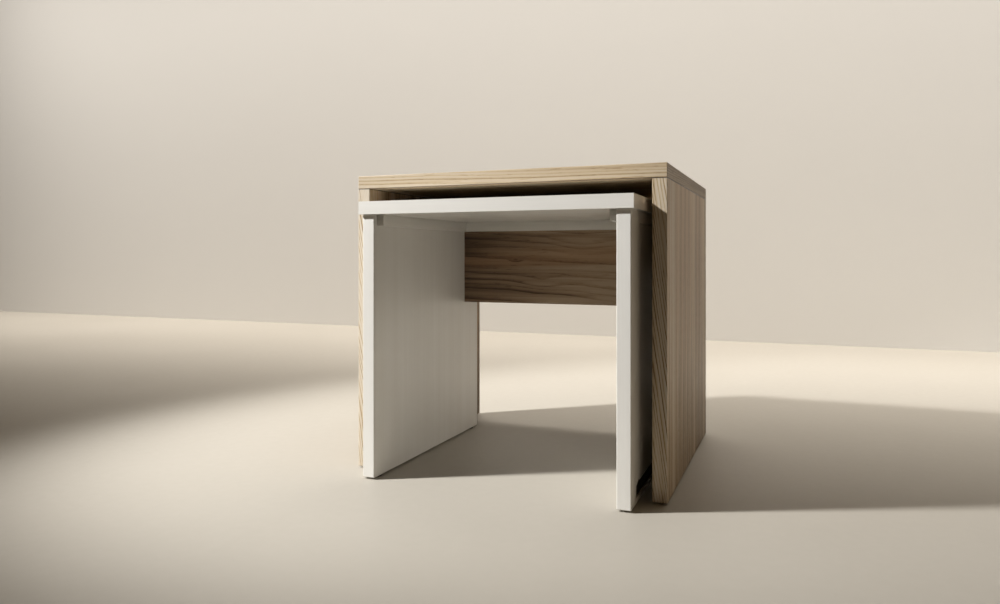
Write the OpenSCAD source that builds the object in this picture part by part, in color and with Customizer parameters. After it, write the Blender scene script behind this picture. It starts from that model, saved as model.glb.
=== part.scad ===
// Nest of two tables: an oak outer table and a white lacquered inner table that slides out
// from under it. Millimetres, +Z up, front towards -Y.
// The origin is on the floor, at the middle of the pair as it stands with the inner table
// drawn a little way out.

/* [Outer table] */
// Width over the side panels
outer_w = 525; // [440:5:700]
// Depth from front edge to rear edge
outer_d = 470; // [450:5:600]
// Height from the floor to the top surface
outer_h = 500; // [460:5:600]
// Thickness of the oak boards
outer_board = 22; // [19:1:28]
// Height of the rear rail under the top
rail_h = 145; // [100:5:220]

/* [Inner table] */
// Depth of the inner side panels
inner_d = 415; // [390:5:430]
// Thickness of the inner top and of the finished inner side panels
inner_board = 21; // [19:1:25]
// Free gap between the inner and outer side panels
side_gap = 20; // [12:1:40]
// Free gap between the inner top and the outer top
top_gap = 26; // [10:1:60]
// How far the inner top stands out past its side panels at each end
end_overhang = 5; // [0:1:10]
// How far the inner top stands out in front of its side panels
front_overhang = 5; // [0:1:15]
// How far the inner side panels stand in front of the outer table
pull_out = 52; // [0:1:200]

/* [Inner side panels] */
// Thickness of the outer facing on each inner side panel
facing_t = 9; // [8:0.5:10]
// Width of the front stile in the facing
stile_w = 61; // [50:1:90]
// Width of the stile's foot, below the groove's sloping end
foot_w = 36; // [26:1:45]
// Height of the groove's lower edge above the floor
groove_low = 10; // [8:1:14]
// Height of the groove's upper edge above the floor
groove_high = 31; // [26:1:40]
// Height of the strip along the top of the facing
top_strip_h = 19; // [12:1:30]
// Width of the joint lines in the facing
joint_line = 0.6; // [0.4:0.1:1]

/* [Apron and cleats] */
// Thickness of the oak apron
apron_board = 18; // [16:1:22]
// Height of the apron below the inner top
apron_h = 162; // [120:1:200]
// Distance from the front of the side panels to the apron's face
apron_setback = 350; // [250:5:360]
// Height of the cleats under the inner top
cleat_h = 18; // [16:1:24]
// Thickness of the side cleats
cleat_t = 12; // [10:1:16]
// Distance from the front of the side panels to the side cleats
cleat_setback = 10; // [5:1:30]

/* [Edges and feet] */
// Thickness of the edge lippings
lipping = 1.5; // [1:0.5:3]
// Height of the glides under the panels
glide_h = 3; // [2:0.5:6]
// Diameter of the glides
glide_dia = 17; // [14:1:18]
// Distance from a panel's front or rear edge to the glide's centre
glide_inset = 24; // [18:1:60]

/* [Hidden] */
$fn = 48;

// Heights
outer_under = outer_h - outer_board;
rail_low = outer_under - rail_h;
inner_h = outer_under - top_gap;
inner_under = inner_h - inner_board;
cleat_low = inner_under - cleat_h;
apron_low = inner_under - apron_h;

// Places front to back: the pair is centred on Y with the inner top's front edge foremost
reach = pull_out + front_overhang;
outer_front = (reach - outer_d) / 2;
outer_rear = outer_front + outer_d;
inner_front = outer_front - pull_out;
inner_rear = inner_front + inner_d;
rail_front = outer_rear - outer_board;
apron_front = inner_front + apron_setback;
apron_rear = apron_front + apron_board;
cleat_front = inner_front + cleat_setback;

// Places across the tables, on the right-hand half
outer_face = outer_w / 2;
outer_inner_face = outer_face - outer_board;
inner_face = outer_inner_face - side_gap;
inner_inner_face = inner_face - inner_board;
core_face = inner_face - facing_t;
inner_top_end = inner_face + end_overhang;
cleat_face = inner_inner_face - cleat_t;

// Edge strips of the inner side panels
edge_strip = 2;
core_front = inner_front + edge_strip;
core_rear = inner_rear - edge_strip;

// Groove in the facing and the black strip in it
groove_peak = groove_high + 5;
groove_shoulder = groove_high - 3;
strip_play = 0.5;
strip_t = 6;

// Fittings
play = 0.05;
dowel_dia = 8;
dowel_len = 30;
dowel_in_top = 12;
dowel_in_core = 9;
cam_dia = 15;
cam_drop = 34;
bolt_thread = 11;
bolt_in_core = 9.5;
cap_dia = 17;
cap_t = 1;
screw_dia = 3.5;
screw_head = 7;
long_screw = 30;
short_screw = inner_board - facing_t + cleat_t - 4;
strip_screw = 14;
pin_dia = 2.5;
pin_len = 14;

// Evenly spaced places between two limits
function spread(n, low, high) = [for (i = [0:n - 1]) low + (high - low) * i / (n - 1)];

side_dowel_y = spread(3, outer_front + 40, rail_front - 24);
side_cam_y = spread(2, outer_front + 100, rail_front - 80);
side_mid_x = outer_face - outer_board / 2;
rail_mid_y = outer_rear - outer_board / 2;
rail_mid_z = (rail_low + outer_under) / 2;
rail_dowel_z = [rail_mid_z - 45, rail_mid_z + 35];
rail_dowel_x = spread(3, -outer_inner_face + 60, outer_inner_face - 60);
apron_mid_y = apron_front + apron_board / 2;
apron_mid_z = (apron_low + cleat_low) / 2;
apron_dowel_z = [apron_mid_z - 45, apron_mid_z + 45];
side_screw_y = spread(3, cleat_front + 30, apron_front - cleat_h - 24);
side_level_y = [for (i = [0, 1]) (side_screw_y[i] + side_screw_y[i + 1]) / 2];
side_screw_x = cleat_face + cleat_t / 2;
cross_screw_x = spread(4, -cleat_face + 40, cleat_face - 40);
cross_upright_x = spread(3, -cleat_face + 90, cleat_face - 90);
strip_screw_y = spread(3, inner_front + 110, inner_rear - 50);
outer_glide_y = [outer_front + glide_inset, outer_rear - glide_inset];
inner_glide_y = [inner_front + glide_inset, inner_rear - glide_inset];
inner_glide_x = inner_inner_face + glide_dia / 2;

oak = [0.72, 0.60, 0.45];
oak_dark = [0.42, 0.32, 0.22];
white = [0.90, 0.88, 0.84];
steel = [0.75, 0.76, 0.78];
zinc = [0.62, 0.62, 0.60];
beech = [0.80, 0.64, 0.44];
black = [0.05, 0.05, 0.05];

// ---- Shared shapes ----

// A board given by its two limits on each axis
module board(x, y, z)
    translate([x[0], y[0], z[0]])
        cube([x[1] - x[0], y[1] - y[0], z[1] - z[0]]);

// A board with its outline in Y and Z, between two places in X
module upright(x, outline)
    translate([x[0], 0, 0])
        rotate([90, 0, 90])
            linear_extrude(x[1] - x[0])
                polygon(outline);

module left_hand()
    mirror([1, 0, 0])
        children();

module both_hands() {
    children();
    left_hand() children();
}

// Turns a fitting that points up so that it points to the right, and its face to the
// front or to the rear
module to_right_facing_front()
    rotate([-90, 0, 0])
        rotate([0, 90, 0])
            children();

module to_right_facing_rear()
    rotate([90, 0, 0])
        rotate([0, 90, 0])
            children();

// ---- Fittings, each drawn with the joint at z = 0 and the receiving board above ----

// Beech dowel with bevelled ends
module dowel(upper)
    translate([0, 0, upper - dowel_len])
        rotate_extrude()
            polygon([
                [0, 0], [dowel_dia / 2 - 1, 0], [dowel_dia / 2, 1],
                [dowel_dia / 2, dowel_len - 1], [dowel_dia / 2 - 1, dowel_len], [0, dowel_len]
            ]);

module dowel_hole(upper)
    translate([0, 0, upper - dowel_len - 0.5])
        cylinder(d = dowel_dia + 2 * play, h = dowel_len + 1);

// Steel bolt that screws into the receiving board and is drawn down by the cam
module cam_bolt(thread)
    rotate_extrude()
        polygon([
            [0, thread], [2, thread], [3, thread - 1.5], [3, 0], [3.7, 0], [3.7, -1.5],
            [2.5, -1.5], [2.5, -cam_drop + 6], [1.7, -cam_drop + 5], [1.7, -cam_drop + 1],
            [3.1, -cam_drop], [3.1, -cam_drop - 2], [0, -cam_drop - 2]
        ]);

module bolt_hole(thread) {
    translate([0, 0, -0.5])
        cylinder(r = 3 + play, h = thread + 1);
}

// Zinc disc let into the board's face, with the mouth that takes the bolt's head
module cam_disc(face, depth)
    difference() {
        translate([face - depth, 0, -cam_drop])
            rotate([0, 90, 0])
                cylinder(d = cam_dia, h = depth);
        translate([0, 0, -cam_drop - 3])
            cylinder(r = 3.6, h = cam_dia);
        for (turn = [0, 90])
            translate([face - 1, 0, -cam_drop])
                rotate([turn, 0, 0])
                    cube([2.2, 1.4, 8], center = true);
    }

module cam_cap(face)
    translate([face, 0, -cam_drop])
        rotate([0, 90, 0])
            rotate_extrude()
                polygon([
                    [0, 0], [cap_dia / 2, 0], [cap_dia / 2, cap_t * 0.4],
                    [cap_dia / 2 - 0.7, cap_t], [0, cap_t]
                ]);

// Pocket for the disc and passage for the bolt
module cam_pocket(face, depth) {
    translate([face - depth - 0.3, 0, -cam_drop])
        rotate([0, 90, 0])
            cylinder(d = cam_dia + 0.2, h = depth + 1.3);
    translate([0, 0, -cam_drop - 3])
        cylinder(r = 3.9, h = cam_drop + 4);
}

// Countersunk screw with its head at z = 0, driven upwards
module screw(length)
    difference() {
        rotate_extrude()
            polygon([
                [0, 0], [screw_head / 2, 0], [screw_dia / 2, 2.2],
                [screw_dia / 2, length - 4], [0, length]
            ]);
        for (turn = [0, 90])
            rotate([0, 0, turn])
                cube([3.6, 0.8, 2.4], center = true);
    }

module screw_hole(length) {
    translate([0, 0, -1])
        cylinder(r = screw_head / 2 + play, h = 1);
    cylinder(r1 = screw_head / 2 + play, r2 = screw_dia / 2 + play, h = 2.2);
    cylinder(r = screw_dia / 2 + play, h = length + 0.5);
}

// Nailed glide with a bevelled sole
module glide()
    rotate_extrude()
        polygon([
            [0, 0], [glide_dia / 2 - 1, 0], [glide_dia / 2, 1], [glide_dia / 2, glide_h],
            [pin_dia / 2, glide_h], [pin_dia / 2, glide_h + pin_len - 2], [0, glide_h + pin_len]
        ]);

module glide_hole()
    translate([0, 0, glide_h - 1])
        cylinder(d = pin_dia + 2 * play, h = pin_len + 1.5);

// ---- Where the fittings go, on the right-hand half ----

module at_side_dowels()
    for (y = side_dowel_y)
        translate([side_mid_x, y, outer_under])
            children();

module at_side_cams()
    for (y = side_cam_y)
        translate([side_mid_x, y, outer_under])
            rotate([0, 0, 180])
                children();

module at_rail_dowels()
    for (z = rail_dowel_z)
        translate([outer_inner_face, rail_mid_y, z])
            to_right_facing_front()
                children();

module at_rail_cam()
    translate([outer_inner_face, rail_mid_y, rail_mid_z])
        to_right_facing_front()
            children();

module at_rail_top_dowels()
    for (x = rail_dowel_x)
        translate([x, rail_mid_y, outer_under])
            children();

module at_apron_dowels()
    for (z = apron_dowel_z)
        translate([inner_inner_face, apron_mid_y, z])
            to_right_facing_rear()
                children();

module at_apron_cam()
    translate([inner_inner_face, apron_mid_y, apron_mid_z])
        to_right_facing_rear()
            children();

module at_outer_glides()
    for (y = outer_glide_y)
        translate([side_mid_x, y, 0])
            children();

module at_inner_glides()
    for (y = inner_glide_y)
        translate([inner_glide_x, y, 0])
            children();

// Screws up through the side cleats into the top
module at_side_cleat_uprights()
    for (y = side_screw_y)
        translate([side_screw_x, y, cleat_low])
            children();

// Screws sideways through the panels' cores into the side cleats, hidden by the facing
module at_side_cleat_levels()
    for (y = side_level_y)
        translate([core_face, y, cleat_low + cleat_h / 2])
            rotate([0, -90, 0])
                children();

module at_cross_cleat_uprights()
    for (x = cross_upright_x)
        translate([x, apron_front - cleat_h / 2, cleat_low])
            children();

// Screws through the apron from behind into the cross cleat
module at_cross_cleat_levels()
    for (x = cross_screw_x)
        translate([x, apron_rear, cleat_low + cleat_h / 2])
            rotate([90, 0, 0])
                children();

module at_groove_strip_screws()
    for (y = strip_screw_y)
        translate([core_face + strip_t, y, (groove_low + groove_high) / 2])
            rotate([0, -90, 0])
                children();

// ---- Outer table ----

module outer_top()
    color(oak)
        difference() {
            board([-outer_face + lipping, outer_face - lipping],
                  [outer_front + lipping, outer_rear - lipping], [outer_under, outer_h]);
            both_hands() {
                at_side_dowels() dowel_hole(dowel_in_top);
                at_side_cams() bolt_hole(bolt_thread);
            }
            at_rail_top_dowels() dowel_hole(dowel_in_top);
        }

// The front and rear lippings run the full width and cover the ends of the other two
module outer_top_front_lipping()
    color(oak)
        board([-outer_face, outer_face], [outer_front, outer_front + lipping],
              [outer_under, outer_h]);

module outer_top_rear_lipping()
    color(oak)
        board([-outer_face, outer_face], [outer_rear - lipping, outer_rear],
              [outer_under, outer_h]);

module outer_top_right_lipping()
    color(oak)
        board([outer_face - lipping, outer_face],
              [outer_front + lipping, outer_rear - lipping], [outer_under, outer_h]);

module outer_top_left_lipping()
    left_hand() outer_top_right_lipping();

module outer_right_side()
    color(oak)
        difference() {
            board([outer_inner_face, outer_face],
                  [outer_front + lipping, outer_rear - lipping], [glide_h, outer_under]);
            at_side_dowels() dowel_hole(dowel_in_top);
            at_side_cams() cam_pocket(outer_board / 2, 15.5);
            at_rail_dowels() dowel_hole(dowel_in_top);
            at_rail_cam() bolt_hole(bolt_thread);
            at_outer_glides() glide_hole();
        }

module outer_left_side()
    left_hand() outer_right_side();

module outer_right_front_lipping()
    color(oak)
        board([outer_inner_face, outer_face], [outer_front, outer_front + lipping],
              [glide_h, outer_under]);

module outer_left_front_lipping()
    left_hand() outer_right_front_lipping();

module outer_right_rear_lipping()
    color(oak)
        board([outer_inner_face, outer_face], [outer_rear - lipping, outer_rear],
              [glide_h, outer_under]);

module outer_left_rear_lipping()
    left_hand() outer_right_rear_lipping();

module outer_rear_rail()
    color(oak)
        difference() {
            board([-outer_inner_face, outer_inner_face], [rail_front, outer_rear],
                  [rail_low + lipping, outer_under]);
            both_hands() {
                at_rail_dowels() dowel_hole(dowel_in_top);
                at_rail_cam() cam_pocket(outer_board / 2, 15.5);
            }
            at_rail_top_dowels() dowel_hole(dowel_in_top);
        }

module outer_rail_lipping()
    color(oak)
        board([-outer_inner_face, outer_inner_face], [rail_front, outer_rear],
              [rail_low, rail_low + lipping]);

module outer_dowels()
    color(beech) {
        both_hands() {
            at_side_dowels() dowel(dowel_in_top);
            at_rail_dowels() dowel(dowel_in_top);
        }
        at_rail_top_dowels() dowel(dowel_in_top);
    }

module outer_cam_bolts()
    color(steel)
        both_hands() {
            at_side_cams() cam_bolt(bolt_thread);
            at_rail_cam() cam_bolt(bolt_thread);
        }

module outer_cam_discs()
    color(zinc)
        both_hands() {
            at_side_cams() cam_disc(outer_board / 2, 15.5);
            at_rail_cam() cam_disc(outer_board / 2, 15.5);
        }

module outer_cam_caps()
    color(oak)
        both_hands() {
            at_side_cams() cam_cap(outer_board / 2);
            at_rail_cam() cam_cap(outer_board / 2);
        }

module outer_glides()
    color(black)
        both_hands()
            at_outer_glides() glide();

// ---- Inner table ----

module inner_top()
    color(white)
        difference() {
            board([-inner_top_end, inner_top_end],
                  [inner_front - front_overhang, inner_rear], [inner_under, inner_h]);
            both_hands()
                at_side_cleat_uprights() screw_hole(long_screw);
            at_cross_cleat_uprights() screw_hole(long_screw);
        }

// Core of the side panel, behind the facing and between the edge strips
module inner_right_side()
    color(white)
        difference() {
            board([inner_inner_face, core_face], [core_front, core_rear],
                  [glide_h, inner_under]);
            at_apron_dowels() dowel_hole(dowel_in_core);
            at_apron_cam() bolt_hole(bolt_in_core);
            at_inner_glides() glide_hole();
            at_side_cleat_levels() screw_hole(short_screw);
            at_groove_strip_screws() screw_hole(strip_screw);
        }

module inner_left_side()
    left_hand() inner_right_side();

module inner_right_front_edge()
    color(white)
        board([inner_inner_face, inner_face], [inner_front, core_front],
              [glide_h, inner_under]);

module inner_left_front_edge()
    left_hand() inner_right_front_edge();

module inner_right_rear_edge()
    color(white)
        board([inner_inner_face, inner_face], [core_rear, inner_rear],
              [glide_h, inner_under]);

module inner_left_rear_edge()
    left_hand() inner_right_rear_edge();

// Front stile of the facing, cut away at the foot where the groove ends
module inner_right_stile()
    color(white)
        upright([core_face, inner_face], [
            [core_front, glide_h], [inner_front + foot_w, glide_h],
            [inner_front + foot_w, groove_shoulder], [inner_front + stile_w, groove_peak],
            [inner_front + stile_w, inner_under], [core_front, inner_under]
        ]);

module inner_left_stile()
    left_hand() inner_right_stile();

module inner_right_facing()
    color(white)
        board([core_face, inner_face],
              [inner_front + stile_w + joint_line, core_rear],
              [groove_high, inner_under - top_strip_h - joint_line]);

module inner_left_facing()
    left_hand() inner_right_facing();

module inner_right_top_strip()
    color(white)
        board([core_face, inner_face],
              [inner_front + stile_w + joint_line, core_rear],
              [inner_under - top_strip_h, inner_under]);

module inner_left_top_strip()
    left_hand() inner_right_top_strip();

module inner_right_bottom_strip()
    color(white)
        board([core_face, inner_face], [inner_front + foot_w, core_rear],
              [glide_h, groove_low]);

module inner_left_bottom_strip()
    left_hand() inner_right_bottom_strip();

// Black low-friction strip in the groove, which keeps the two tables from rubbing
module inner_right_groove_strip()
    color(black)
        difference() {
            upright([core_face, core_face + strip_t], [
                [inner_front + foot_w + strip_play, groove_low],
                [core_rear - strip_play, groove_low],
                [core_rear - strip_play, groove_high - strip_play],
                [inner_front + foot_w + 10, groove_high - strip_play],
                [inner_front + foot_w + strip_play, groove_shoulder - strip_play]
            ]);
            at_groove_strip_screws() screw_hole(strip_screw);
        }

module inner_left_groove_strip()
    left_hand() inner_right_groove_strip();

module inner_groove_strip_screws()
    color(black)
        both_hands()
            at_groove_strip_screws() screw(strip_screw);

module inner_right_cleat()
    color(white)
        difference() {
            board([cleat_face, inner_inner_face], [cleat_front, apron_front],
                  [cleat_low, inner_under]);
            at_side_cleat_uprights() screw_hole(long_screw);
            at_side_cleat_levels() screw_hole(short_screw);
        }

module inner_left_cleat()
    left_hand() inner_right_cleat();

// Cleat in the corner between the apron and the top, from one side cleat to the other
module inner_cross_cleat()
    color(white)
        difference() {
            board([-cleat_face, cleat_face], [apron_front - cleat_h, apron_front],
                  [cleat_low, inner_under]);
            at_cross_cleat_uprights() screw_hole(long_screw);
            at_cross_cleat_levels() screw_hole(long_screw);
        }

// Screws up through all the cleats into the top
module inner_top_screws()
    color(steel) {
        both_hands()
            at_side_cleat_uprights() screw(long_screw);
        at_cross_cleat_uprights() screw(long_screw);
    }

// Screws into the cleats from the side panels and the apron
module inner_cleat_screws()
    color(steel) {
        both_hands()
            at_side_cleat_levels() screw(short_screw);
        at_cross_cleat_levels() screw(long_screw);
    }

module inner_apron()
    color(oak_dark)
        difference() {
            board([-inner_inner_face, inner_inner_face], [apron_front, apron_rear],
                  [apron_low + lipping, inner_under]);
            both_hands() {
                at_apron_dowels() dowel_hole(dowel_in_core);
                at_apron_cam() cam_pocket(apron_board / 2, 13);
            }
            at_cross_cleat_levels() screw_hole(long_screw);
        }

module inner_apron_lipping()
    color(oak_dark)
        board([-inner_inner_face, inner_inner_face], [apron_front, apron_rear],
              [apron_low, apron_low + lipping]);

module inner_dowels()
    color(beech)
        both_hands()
            at_apron_dowels() dowel(dowel_in_core);

module inner_cam_bolts()
    color(steel)
        both_hands()
            at_apron_cam() cam_bolt(bolt_in_core);

module inner_cam_discs()
    color(zinc)
        both_hands()
            at_apron_cam() cam_disc(apron_board / 2, 13);

module inner_cam_caps()
    color(oak_dark)
        both_hands()
            at_apron_cam() cam_cap(apron_board / 2);

module inner_glides()
    color(black)
        both_hands()
            at_inner_glides() glide();

outer_top();
outer_top_front_lipping();
outer_top_rear_lipping();
outer_top_left_lipping();
outer_top_right_lipping();
outer_left_side();
outer_right_side();
outer_left_front_lipping();
outer_right_front_lipping();
outer_left_rear_lipping();
outer_right_rear_lipping();
outer_rear_rail();
outer_rail_lipping();
outer_dowels();
outer_cam_bolts();
outer_cam_discs();
outer_cam_caps();
outer_glides();
inner_top();
inner_left_side();
inner_right_side();
inner_left_front_edge();
inner_right_front_edge();
inner_left_rear_edge();
inner_right_rear_edge();
inner_left_stile();
inner_right_stile();
inner_left_facing();
inner_right_facing();
inner_left_top_strip();
inner_right_top_strip();
inner_left_bottom_strip();
inner_right_bottom_strip();
inner_left_groove_strip();
inner_right_groove_strip();
inner_groove_strip_screws();
inner_left_cleat();
inner_right_cleat();
inner_cross_cleat();
inner_top_screws();
inner_cleat_screws();
inner_apron();
inner_apron_lipping();
inner_dowels();
inner_cam_bolts();
inner_cam_discs();
inner_cam_caps();
inner_glides();
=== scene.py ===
import math

import bpy
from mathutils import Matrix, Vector


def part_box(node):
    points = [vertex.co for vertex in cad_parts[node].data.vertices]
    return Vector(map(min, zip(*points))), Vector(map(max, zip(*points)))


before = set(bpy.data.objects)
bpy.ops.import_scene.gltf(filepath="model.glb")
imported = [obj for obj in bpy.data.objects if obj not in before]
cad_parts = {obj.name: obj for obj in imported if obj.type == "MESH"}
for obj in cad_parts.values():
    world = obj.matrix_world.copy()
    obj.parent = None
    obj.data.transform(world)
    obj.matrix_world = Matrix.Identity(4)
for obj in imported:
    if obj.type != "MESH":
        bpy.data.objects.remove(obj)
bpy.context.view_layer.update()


# ---- Side panels of the outer table ----
# Chipboard 22 mm thick, faced with straight-grained oak laid in upright leaves, matt oiled.
# Each panel stands on two glides, and dowels and cam fittings hold it under the top.

class Wire:
    """One output of a shader node. Sums on it add Math nodes, and add() makes any other node."""

    def __init__(self, tree, socket=None):
        self.tree, self.socket = tree, socket

    def add(self, kind, settings=None, sockets=None, out=0):
        node = self.tree.nodes.new("ShaderNode" + kind)
        for name, value in (settings or {}).items():
            if name == "stops":
                first, *between, last = value
                ramp = node.color_ramp
                for stop, (at, colour) in zip(list(ramp.elements), (first, last)):
                    stop.position, stop.color = at, (*colour, 1)
                for at, colour in between:
                    ramp.elements.new(at).color = (*colour, 1)
            else:
                setattr(node, name, value)
        for name, value in (sockets or {}).items():
            if isinstance(value, Wire):
                self.tree.links.new(value.socket, node.inputs[name])
            else:
                node.inputs[name].default_value = value
        return Wire(self.tree, node.outputs[out])

    def maths(self, operation, *others):
        return self.add("Math", {"operation": operation}, dict(enumerate((self, *others))))

    def __add__(self, other):
        return self.maths("ADD", other)

    def __sub__(self, other):
        return self.maths("SUBTRACT", other)

    def __mul__(self, other):
        return self.maths("MULTIPLY", other)

    def __truediv__(self, other):
        return self.maths("DIVIDE", other)

    __radd__, __rmul__ = __add__, __mul__

    def __rsub__(self, other):
        return self.add("Math", {"operation": "SUBTRACT"}, {0: other, 1: self})

    def rise(self, low, high):
        """0 below low and 1 above high, with a smooth change between them."""
        return self.add("MapRange", {"interpolation_type": "SMOOTHSTEP"},
                        {"Value": self, "From Min": low, "From Max": high})

    def axes(self):
        """The three numbers of a position."""
        parts = self.add("SeparateXYZ", sockets={0: self})
        return [Wire(self.tree, socket) for socket in parts.socket.node.outputs]

    def stretch(self, scale):
        """A position multiplied along each of its axes."""
        return self.add("VectorMath", {"operation": "MULTIPLY"}, {0: self, 1: scale})

    def cloud(self, scale, detail=2.0, rough=0.5):
        """Noise from 0 to 1, with scale spots to the metre along each axis."""
        return self.add("TexNoise", sockets={
            "Vector": self.stretch(scale), "Scale": 1.0, "Detail": detail, "Roughness": rough})

    def blend(self, first, second, mode="MIX"):
        """Between two colours, by this wire from 0 to 1."""
        return self.add("Mix", {"data_type": "RGBA", "blend_type": mode},
                        {0: self, 6: first, 7: second}, out=2)


def begin(name):
    """A new material and the position on the object, as its first wire."""
    material = bpy.data.materials.new(name)
    material.use_nodes = True
    material.node_tree.nodes.clear()
    return material, Wire(material.node_tree).add("TexCoord", out="Object")


def close(material, place, shader, height=None, depth=0.0001):
    """Ends a material in one Principled shader, with its relief."""
    if height is not None:
        shader["Normal"] = place.add("Bump", sockets={
            "Height": height, "Distance": depth, "Strength": 1.0})
    surface = place.add("BsdfPrincipled", sockets=shader)
    output = material.node_tree.nodes.new("ShaderNodeOutputMaterial")
    material.node_tree.links.new(surface.socket, output.inputs["Surface"])
    return material


def finish_node(name, material):
    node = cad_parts[name]
    node.data.materials.clear()
    node.data.materials.append(material)


TOUCHING = 1e-5


def soften(name, radius, glued):
    """Rounds a board's arrises, all but those on faces glued to a neighbour, such as -x or +z."""
    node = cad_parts[name]
    mesh = node.data
    low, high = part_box(name)
    shut = [("xyz".index(face[1]), low if face[0] == "-" else high) for face in glued.split()]
    weight = mesh.attributes.new("bevel_weight_edge", "FLOAT", "EDGE")
    for edge in mesh.edges:
        ends = [mesh.vertices[v].co for v in edge.vertices]
        fast = any(all(abs(end[axis] - corner[axis]) < TOUCHING for end in ends)
                   for axis, corner in shut)
        weight.data[edge.index].value = 0.0 if fast else 1.0
    mesh.polygons.foreach_set("use_smooth", [True] * len(mesh.polygons))
    node.modifiers.new("meet", "WELD").merge_threshold = TOUCHING
    flat = node.modifiers.new("flat", "DECIMATE")
    flat.decimate_type = "DISSOLVE"
    flat.angle_limit = math.radians(1)
    arris = node.modifiers.new("arris", "BEVEL")
    arris.width = radius
    arris.segments = 3
    arris.limit_method = "WEIGHT"
    arris.use_clamp_overlap = True
    even = node.modifiers.new("even", "WEIGHTED_NORMAL")
    even.keep_sharp = False


def from_middle(world, low, high, grain):
    """Distances from a board's middle along, across and through its grain, such as zyx."""
    order = ["xyz".index(axis) for axis in grain]
    return [world[i] - (low[i] + high[i]) / 2 for i in order]


def to_arris(world, low, high):
    """How far a point lies from the nearest arris of its board."""
    reach = [(high[i] - low[i]) / 2 - (world[i] - (low[i] + high[i]) / 2).maths("ABSOLUTE")
             for i in range(3)]
    least = reach[0].maths("MINIMUM", reach[1])
    most = reach[0].maths("MAXIMUM", reach[1])
    return least.maths("MAXIMUM", most.maths("MINIMUM", reach[2]))


OAK_TONES = [(0.0, (0.61, 0.54, 0.44)), (0.38, (0.52, 0.41, 0.27)),
             (0.72, (0.31, 0.213, 0.108)), (1.0, (0.12, 0.070, 0.028))]


def oak(name, low, high, grain, pith, lean, ring, seed, leaf=None, contrast=1.0, streaks=1.0,
        wander=1.0, base=0.36, fade=(0.0, 0.0), seam="", tones=OAK_TONES, knots=()):
    """Oak as growth rings round a pith, cut by the board. Grain names the board's axes along,
    across and through. Pith is how far off it lies across and through, and lean is its slope.
    Ring is the width of one year, and leaf the width of one sheet of veneer. Contrast is that
    of the years, streaks that of the broad bands, and wander how far the figure strays.
    Base is how dark the board is, and fade is how much darker it gets to the metre, along and
    across; on the outer side panels and the apron this is a painted shade. A seam is a face,
    such as +z, along which a dark line shows, glue in the joint and a painted shadow in its gap.
    Each knot is its place along and across, its size, how far it bends the years, and its
    darkness."""
    material, place = begin(name)
    world = place.axes()
    along, across, through = from_middle(world, low, high, grain)
    # The fade darkens the tone along and across the board; where it is set, it is a painted shade.
    tone = base + along * fade[0] + across * fade[1]
    along = along + seed * 3.7
    if leaf:
        number = (across / leaf).maths("ROUND")
        across = across - number * leaf
        chance = place.add("TexWhiteNoise", {"noise_dimensions": "1D"}, {"W": number + seed * 9.1})
        along = along + chance * 0.35
        tone = tone + (chance - 0.5) * 0.24
    board = place.add("CombineXYZ", sockets={0: along, 1: across, 2: through + seed})
    sway = (board.cloud((1.7, 9.0, 9.0), 1.0) - 0.5) * wander
    waver = board.cloud((9.0, 55.0, 55.0), 2.0) - 0.5
    side = across + pith[0] + along * lean[0] + sway * 0.030 + waver * 0.0035
    deep = through + pith[1] + along * lean[1] + sway * 0.018
    radius = (side * side + deep * deep).maths("SQRT")
    swell = 0.0
    for u, v, size, rise, dark in knots:
        du, dv = (along - (u + seed * 3.7)) / 2.6, across - v
        near = ((du * du + dv * dv) * (-1 / size ** 2)).maths("EXPONENT")
        swell = swell + near * rise
        tone = tone + near * dark
    years = place.add("TexNoise", {"noise_dimensions": "1D"},
                      {"W": radius + seed, "Scale": 45.0, "Detail": 1.0})
    phase = radius / ring + years * 2.4 + swell
    age = phase.maths("FRACT")
    early = age.rise(0.62, 0.0) * age.rise(0.0, 0.06)
    year = place.add("TexWhiteNoise", {"noise_dimensions": "1D"}, {"W": phase.maths("FLOOR")})
    fibre = board.cloud((7.0, 420.0, 420.0), 3.0, 0.65)
    streak = board.cloud((2.2, 60.0, 60.0), 2.0, 0.55)
    band = board.cloud((0.9, 17.0, 17.0), 1.0)
    pore = board.cloud((95.0, 1500.0, 1500.0), 1.0, 0.4).rise(0.56, 0.68) * (early * 0.75 + 0.25)
    fleck = board.cloud((24.0, 300.0, 300.0), 1.0).rise(0.66, 0.76)
    tone = (tone + (early * (year * 0.7 + 0.3) - 0.22) * 0.46 * contrast + (fibre - 0.5) * 0.42
            + (streak - 0.5) * streaks + (band - 0.5) * streaks + pore * 0.22 + fleck * 0.22)
    colour = tone.add("ValToRGB", {"stops": tones}, {"Fac": tone})
    blush = board.cloud((0.7, 22.0, 22.0), 1.0).rise(0.50, 0.66) * 0.55
    colour = blush.blend(colour, (0.95, 0.77, 0.61, 1), "MULTIPLY")
    arris = to_arris(world, low, high)
    worn = arris.rise(0.0022, 0.0004) * board.cloud((30.0, 30.0, 30.0), 2.0).rise(0.42, 0.66) * 0.35
    colour = worn.blend(colour, (0.62, 0.52, 0.40, 1))
    # A dark line along each seam face: glue in the joint and a painted shadow in its gap.
    for face in seam.split():
        i = "xyz".index(face[1])
        depth = high[i] - world[i] if face[0] == "+" else world[i] - low[i]
        colour = (depth.rise(0.0013, 0.0005) * 0.85).blend(colour, (0.045, 0.030, 0.018, 1))
    gloss = 0.46 + pore * 0.20 + (fibre - 0.5) * 0.18 - worn * 0.25
    height = (fibre - 0.5) * 0.30 - early * 0.25 - pore
    return close(material, place, {
        "Base Color": colour, "Roughness": gloss, "Specular IOR Level": 0.38}, height, 0.00016)


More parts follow.
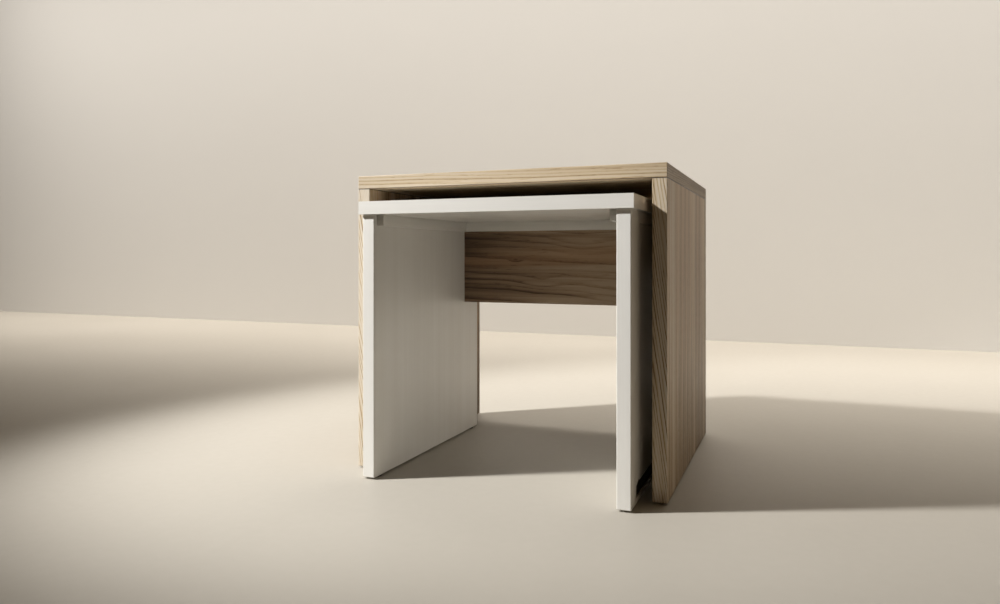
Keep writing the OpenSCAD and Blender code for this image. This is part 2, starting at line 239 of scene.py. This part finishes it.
for hand, way, number in (("left", -1, 1.0), ("right", 1, 2.0)):
    panel = f"outer_{hand}_side"
    low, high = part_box(panel)
    # The fade darkens each side panel towards the floor and towards its rear edge, a painted shade.
    finish_node(panel, oak(
        panel + "_oak", low, high, "zyx", pith=(0.42, 0.10 * way), lean=(0.006, 0.0), ring=0.0040,
        seed=number, leaf=0.047, contrast=0.8, streaks=1.1, base=0.50, fade=(-0.60, 0.80),
        seam="+z"))
    soften(panel, 0.0005, "-y +y")

# ---- Lippings on the edges of the side panels ----
# Sliced oak 1.5 mm thick, glued to the front and rear edges and rounded over. It comes from
# crown-cut stock, so the figure runs slantwise down the narrow edge in long points.

# The left panel's lippings are paler and the right panel's darker: a painted light on the lit left
# side and a painted shade on the right.
for hand, way, base, number in (("left", -1, 0.14, 3.0), ("right", 1, 0.50, 4.0)):
    for edge, inward, off in (("front", "+y", 0.0), ("rear", "-y", 5.0)):
        strip = f"outer_{hand}_{edge}_lipping"
        low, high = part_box(strip)
        finish_node(strip, oak(
            strip + "_oak", low, high, "zxy", pith=(0.012 * way, 0.022), lean=(0.13, 0.05),
            ring=0.0036, seed=number + off, contrast=2.3, streaks=1.5, wander=1.3, base=base,
            seam="+z"))
        soften(strip, 0.0009, inward)

# ---- Top of the outer table ----
# The same 22 mm board with crown-cut oak leaves running from side to side. It lies over the
# side panels, so its ends show as part of the sides, above a fine joint line.

low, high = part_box("outer_top")
finish_node("outer_top", oak(
    "outer_top_oak", low, high, "xyz", pith=(0.004, 0.045), lean=(0.010, 0.055), ring=0.0052,
    seed=11.0, leaf=0.118, contrast=0.5, streaks=0.5, wander=0.6))
soften("outer_top", 0.0003, "-x +x -y +y")

# ---- Lippings round the top ----
# The front and rear strips run the full width over the ends of the two side strips. Their
# figure is level, with a few dark flecks where the cutter met a ray or a small knot.

# The right end strip is far darker than the others, a painted shade on the end that faces away from
# the key light.
for place_name, grain, glued, pith, lean, base, fade, number in (
        ("front", "xzy", "+y", (0.035, 0.030), (0.004, 0.006), 0.37, 0.12, 12.0),
        ("rear", "xzy", "-y", (0.030, 0.035), (-0.005, 0.006), 0.34, 0.0, 13.0),
        ("left", "yzx", "+x -y +y", (0.040, 0.030), (0.010, 0.004), 0.34, 0.0, 14.0),
        ("right", "yzx", "-x -y +y", (0.040, 0.030), (-0.012, 0.004), 0.80, 0.0, 15.0)):
    strip = f"outer_top_{place_name}_lipping"
    low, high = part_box(strip)
    finish_node(strip, oak(
        strip + "_oak", low, high, grain, pith, lean, ring=0.0034, seed=number, contrast=0.9,
        streaks=0.6, wander=0.35, base=base, fade=(fade, 0.0), seam="-z"))
    soften(strip, 0.0009, glued)

# ---- Rear rail of the outer table ----
# An oak-faced board, 145 mm high with the lipping on its lower edge, dowelled and cammed
# between the side panels under the top. It stops the frame from racking.

low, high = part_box("outer_rear_rail")
finish_node("outer_rear_rail", oak(
    "outer_rear_rail_oak", low, high, "xzy", pith=(0.06, 0.05), lean=(0.02, 0.02), ring=0.0055,
    seed=16.0))
soften("outer_rear_rail", 0.0004, "-z")
low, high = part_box("outer_rail_lipping")
finish_node("outer_rail_lipping", oak(
    "outer_rail_lipping_oak", low, high, "xyz", pith=(0.03, 0.03), lean=(0.01, 0.02), ring=0.0045,
    seed=17.0))
soften("outer_rail_lipping", 0.0007, "+z -x +x")

# ---- Dowels and cam fittings of the outer table ----
# Beech dowels with bevelled ends, bright steel bolts and cast zinc discs, all inside the
# boards. Oak-coloured caps pressed over the discs are the only part of them that shows.


def beech(name):
    material, place = begin(name)
    fibre = place.cloud((700.0, 700.0, 60.0), 3.0, 0.6)
    fleck = place.cloud((500.0, 500.0, 160.0), 1.0).rise(0.60, 0.70)
    colour = (fibre * 0.8 + fleck * 0.3).blend((0.66, 0.47, 0.29, 1), (0.47, 0.30, 0.17, 1))
    return close(material, place, {"Base Color": colour, "Roughness": 0.55 + fleck * 0.1},
                 fibre, 0.0001)


def metal(name, colour, turned, rough):
    """Turned wire or cast zinc: spots to the metre on each axis give the tool's marks."""
    material, place = begin(name)
    marks = place.cloud(turned, 2.0)
    stain = place.cloud((90.0, 90.0, 90.0), 3.0).rise(0.45, 0.75)
    dull = [c * 0.72 for c in colour]
    return close(material, place, {
        "Base Color": stain.blend((*colour, 1), (*dull, 1)), "Metallic": 1.0,
        "Roughness": rough + marks * 0.16 + stain * 0.12}, marks, 0.00005)


def moulded(name, colour, spark, rough):
    """Moulded plastic, or paint over a screw head, with a fine grain and slight rubbing."""
    material, place = begin(name)
    grain = place.cloud((spark, spark, spark), 2.0, 0.6)
    rubbed = place.cloud((55.0, 55.0, 55.0), 3.0).rise(0.48, 0.72)
    pale = [c * 1.25 + 0.012 for c in colour]
    return close(material, place, {
        "Base Color": rubbed.blend((*colour, 1), (*pale, 1)),
        "Roughness": rough + grain * 0.2 - rubbed * 0.08}, grain, 0.00006)


STEEL, ZINC = (0.58, 0.58, 0.59), (0.50, 0.50, 0.49)
finish_node("outer_dowels", beech("outer_dowels_beech"))
finish_node("outer_cam_bolts", metal("outer_cam_bolts_steel", STEEL, (300.0, 300.0, 2600.0), 0.24))
finish_node("outer_cam_discs", metal("outer_cam_discs_zinc", ZINC, (700.0, 700.0, 700.0), 0.38))
finish_node("outer_cam_caps", moulded("outer_cam_caps_oak", (0.50, 0.385, 0.26), 2600.0, 0.50))

# ---- Glides of the outer table ----
# Black polyethylene buttons 17 mm across, each with a pin driven into the panel's lower edge.
# They lift the board 3 mm clear of the floor, which leaves a dark line under it.

GLIDE_BLACK = (0.020, 0.019, 0.018)
finish_node("outer_glides", moulded("outer_glides_plastic", GLIDE_BLACK, 1800.0, 0.45))

# ---- Side panels of the inner table ----
# A 12 mm core with a 9 mm facing on the outside, sprayed together in a warm white satin
# lacquer. The last coat keeps a faint lay along each board.


def lacquer(name, low, high, grain, seed):
    """White satin lacquer with its lay along the board, and rubbed arrises."""
    material, place = begin(name)
    world = place.axes()
    along, across, through = from_middle(world, low, high, grain)
    board = place.add("CombineXYZ", sockets={0: along + seed, 1: across, 2: through + seed})
    lay = board.cloud((2.5, 170.0, 170.0), 3.0, 0.6)
    broad = board.cloud((1.5, 34.0, 34.0), 1.0)
    peel = board.cloud((750.0, 750.0, 750.0), 1.0)
    cloudy = board.cloud((14.0, 14.0, 14.0), 3.0)
    tone = (lay - 0.5) * 0.8 + (broad - 0.5) * 0.9 + (cloudy - 0.5) * 0.5 + 0.5
    colour = tone.blend((0.83, 0.815, 0.775, 1), (0.745, 0.722, 0.672, 1))
    arris = to_arris(world, low, high)
    patchy = board.cloud((45.0, 45.0, 45.0), 2.0).rise(0.50, 0.70)
    rubbed = arris.rise(0.0020, 0.0003) * patchy * 0.4
    colour = rubbed.blend(colour, (0.66, 0.62, 0.55, 1))
    gloss = 0.34 + (lay - 0.5) * 0.16 + (cloudy - 0.5) * 0.12 + rubbed * 0.15
    return close(material, place, {
        "Base Color": colour, "Roughness": gloss, "Specular IOR Level": 0.45,
        "Coat Weight": 0.12, "Coat Roughness": 0.22}, lay * 0.6 + peel * 0.4, 0.00006)


def paint(name, grain, radius, glued, seed):
    low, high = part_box(name)
    finish_node(name, lacquer(name + "_lacquer", low, high, grain, seed))
    soften(name, radius, glued)


paint("inner_left_side", "zyx", 0.0004, "-y +y -x", 1.0)
paint("inner_right_side", "zyx", 0.0004, "-y +y +x", 2.0)

# ---- Edge strips of the side panels ----
# Solid strips 2 mm thick over the front and rear edges of core and facing, with arrises
# rounded by hand before the lacquer.

for number, hand in enumerate(("left", "right")):
    paint(f"inner_{hand}_front_edge", "zxy", 0.0011, "+y", 3.0 + number)
    paint(f"inner_{hand}_rear_edge", "zxy", 0.0011, "-y", 5.0 + number)

# ---- Outer facing of the side panels ----
# A front stile cut away at the foot, the facing behind it, a strip along the top and one
# along the bottom. Fine open joints part them, and the groove lies over the bottom strip.

for hand, core, number in (("left", "+x", 7.0), ("right", "-x", 8.0)):
    paint(f"inner_{hand}_stile", "zyx", 0.0004, core + " -y", number)
    paint(f"inner_{hand}_facing", "zyx", 0.0005, core + " +y", number + 2)
    paint(f"inner_{hand}_top_strip", "yzx", 0.0005, core + " +y", number + 4)
    paint(f"inner_{hand}_bottom_strip", "yzx", 0.0005, core + " +y", number + 6)

# ---- Strips in the grooves ----
# Black low-friction strips screwed into the grooves low on the outside of each panel, so
# that the two tables slide past each other without rubbing. Their near-black also stands in
# for the deep shade of the groove, a painted shade.

for hand in ("left", "right"):
    strip = f"inner_{hand}_groove_strip"
    # The strip's near-black is partly a painted shade for the deep groove.
    finish_node(strip, moulded(strip + "_plastic", (0.012, 0.011, 0.010), 1400.0, 0.40))
finish_node("inner_groove_strip_screws", metal(
    "inner_groove_strip_screws_steel", (0.10, 0.10, 0.10), (2600.0, 300.0, 300.0), 0.35))

# ---- Top of the inner table ----
# A 21 mm lacquered board that stands out past the side panels at the front and the ends.
# Its lay runs from side to side.

paint("inner_top", "xyz", 0.0011, "", 21.0)

# ---- Cleats under the inner top ----
# Lacquered strips in the corners under the top, held by countersunk steel screws. The ones up
# into the top were sprayed over with the table. The level ones start from the hidden sides of
# the panel cores and the apron, so they stayed bare.

paint("inner_left_cleat", "yzx", 0.0006, "+z", 22.0)
paint("inner_right_cleat", "yzx", 0.0006, "+z", 23.0)
paint("inner_cross_cleat", "xzy", 0.0006, "+z", 24.0)
finish_node("inner_top_screws", moulded(
    "inner_top_screws_lacquer", (0.70, 0.68, 0.63), 900.0, 0.36))
finish_node("inner_cleat_screws", metal(
    "inner_cleat_screws_steel", STEEL, (900.0, 900.0, 900.0), 0.26))

# ---- Apron of the inner table ----
# A board 18 mm thick faced with brown fumed oak, set well back between the side panels. The
# figure is level and lively, bent round one pin knot and two swells, and the lower edge has a
# lipping to match.

FUMED_TONES = [(0.0, (0.42, 0.31, 0.21)), (0.38, (0.27, 0.180, 0.112)),
               (0.72, (0.12, 0.072, 0.040)), (1.0, (0.040, 0.022, 0.012))]
APRON_KNOTS = [(-0.087, 0.0053, 0.0035, 0.8, 0.5), (-0.036, -0.043, 0.016, 0.9, 0.0),
               (0.050, 0.035, 0.020, 1.1, 0.0)]
# This fade darkens the apron and its lipping towards the left end, a painted shade.
APRON_PAINTED_SHADE = (-2.0, 0.0)
low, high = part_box("inner_apron")
finish_node("inner_apron", oak(
    "inner_apron_fumed_oak", low, high, "xzy", pith=(0.010, 0.020), lean=(0.01, 0.02), ring=0.0070,
    seed=25.0, contrast=0.9, streaks=1.4, wander=0.8, fade=APRON_PAINTED_SHADE, tones=FUMED_TONES,
    knots=APRON_KNOTS))
soften("inner_apron", 0.0004, "-z")
low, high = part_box("inner_apron_lipping")
finish_node("inner_apron_lipping", oak(
    "inner_apron_lipping_fumed_oak", low, high, "xyz", pith=(0.03, 0.03), lean=(0.01, 0.02),
    ring=0.0045, seed=26.0, streaks=0.8, fade=APRON_PAINTED_SHADE, tones=FUMED_TONES))
soften("inner_apron_lipping", 0.0007, "+z -x +x")

# ---- Dowels, cam fittings and glides of the inner table ----
# The same kinds as on the outer table. The caps behind the apron are brown to match it.

finish_node("inner_dowels", beech("inner_dowels_beech"))
finish_node("inner_cam_bolts", metal("inner_cam_bolts_steel", STEEL, (2600.0, 300.0, 300.0), 0.24))
finish_node("inner_cam_discs", metal("inner_cam_discs_zinc", ZINC, (700.0, 700.0, 700.0), 0.38))
finish_node("inner_cam_caps", moulded("inner_cam_caps_brown", (0.20, 0.13, 0.08), 2600.0, 0.50))
finish_node("inner_glides", moulded("inner_glides_plastic", GLIDE_BLACK, 1800.0, 0.45))

# ---- Studio ----
# A pale honed floor and a plain backdrop, one key spot from the front left, and a wash of
# light down the backdrop. The room round them is dim in front and brighter and warm behind.

bpy.ops.mesh.primitive_circle_add(vertices=96, radius=40.0, fill_type="NGON")
floor = bpy.context.object
floor.name = "studio_floor"
material, place = begin("studio_floor_stone")
drift = place.cloud((1.3, 1.3, 1.3), 4.0, 0.55)
fine = place.cloud((60.0, 60.0, 60.0), 3.0)
shade = (drift - 0.5) * 0.9 + (fine - 0.5) * 0.15 + 0.5
floor.data.materials.append(close(material, place, {
    "Base Color": shade.blend((0.455, 0.425, 0.375, 1), (0.395, 0.365, 0.315, 1)),
    "Roughness": 0.50 + (fine - 0.5) * 0.1, "Specular IOR Level": 0.25}))

bpy.ops.mesh.primitive_plane_add(size=1.0, location=(0.0, 2.0, 2.0),
                                 rotation=(math.radians(90), 0.0, 0.0))
backdrop = bpy.context.object
backdrop.name = "studio_backdrop"
backdrop.scale = (16.0, 4.0, 1.0)
material, place = begin("studio_backdrop_paint")
drift = place.cloud((3.0, 3.0, 3.0), 3.0)
backdrop.data.materials.append(close(material, place, {
    "Base Color": drift.blend((0.78, 0.765, 0.735, 1), (0.74, 0.725, 0.695, 1)), "Roughness": 0.8}))

key = bpy.data.objects.new("key_light", bpy.data.lights.new("key_light", "SPOT"))
bpy.context.scene.collection.objects.link(key)
key.data.shadow_soft_size = 0.11
key.data.spot_size = math.radians(35)
key.data.spot_blend = 0.7
key.data.energy = 840.0
key.data.color = (1.0, 0.995, 0.98)
key.location = (-2.24, -1.395, 2.245)
key.rotation_mode = "QUATERNION"
key.rotation_quaternion = Vector((0.66, 0.44, -0.61)).to_track_quat("-Z", "Y")

wash = bpy.data.objects.new("backdrop_light", bpy.data.lights.new("backdrop_light", "AREA"))
bpy.context.scene.collection.objects.link(wash)
wash.data.shape = "RECTANGLE"
wash.data.size = 9.0
wash.data.size_y = 0.6
wash.data.spread = math.radians(70)
wash.data.energy = 114.0
wash.data.color = (1.0, 0.95, 0.885)
wash.location = (-0.3, 1.0, 3.6)
wash.rotation_mode = "QUATERNION"
wash.rotation_quaternion = Vector((0.0, 0.7, -2.9)).to_track_quat("-Z", "Y")

room = bpy.data.worlds.new("room")
bpy.context.scene.world = room
room.use_nodes = True
room.node_tree.nodes.clear()
start = Wire(room.node_tree)
towards = start.add("TexCoord", out="Generated").axes()
behind = (towards[1] + towards[0] * 0.6 + towards[2] * 0.3).rise(0.05, 0.90)
glow = behind.blend((0.026, 0.015, 0.006, 1), (0.31, 0.23, 0.132, 1))
seen = start.add("Background", sockets={"Color": (0.69, 0.645, 0.57, 1), "Strength": 1.0})
fill = start.add("Background", sockets={"Color": glow, "Strength": 1.0})
eye = start.add("LightPath", out="Is Camera Ray")
both = start.add("MixShader", sockets={0: eye, 1: fill, 2: seen})
output = room.node_tree.nodes.new("ShaderNodeOutputWorld")
room.node_tree.links.new(both.socket, output.inputs["Surface"])

lens = bpy.data.cameras.new("camera")
lens.sensor_width = 36.0
lens.lens = 26.795
lens.shift_y = -0.0463
lens.clip_start = 0.05
camera = bpy.data.objects.new("camera", lens)
bpy.context.scene.collection.objects.link(camera)
camera.location = (0.44348, -1.30062, 0.36381)
camera.rotation_euler = (math.radians(90), 0.0, math.radians(22.06))
bpy.context.scene.camera = camera
bpy.context.scene.view_settings.view_transform = "Standard"
